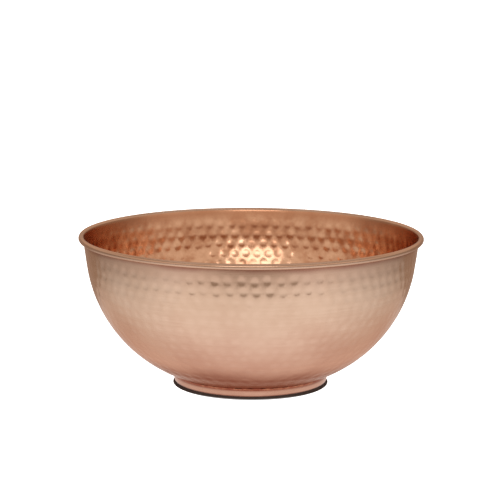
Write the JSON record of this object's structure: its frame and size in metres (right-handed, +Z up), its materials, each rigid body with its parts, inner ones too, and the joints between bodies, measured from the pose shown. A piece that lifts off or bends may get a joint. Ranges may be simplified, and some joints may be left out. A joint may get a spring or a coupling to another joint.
{
  "type": "hammered copper bowl",
  "caption": "Round open bowl of thin hammered copper sheet with a rolled, wired rim, a flat bottom and a low brazed foot ring.",
  "frame": {"origin": "centre of the foot ring's underside, on the table plane", "axes": "+Z up along the bowl's axis of revolution; +X and +Y are any two level directions, because the bowl is round"},
  "size_m": [0.26, 0.26, 0.112],
  "materials": {
    "hammered_copper": "satin hammered copper",
    "copper_wire": "drawn copper",
    "foot_copper": "satin copper",
    "braze": "flowed brazing alloy"
  },
  "bodies": {
    "root": {"hammered_bowl": "hammered_copper", "rim_wire": "copper_wire", "foot_ring": "foot_copper", "foot_braze": "braze"}
  },
  "joints": []
}
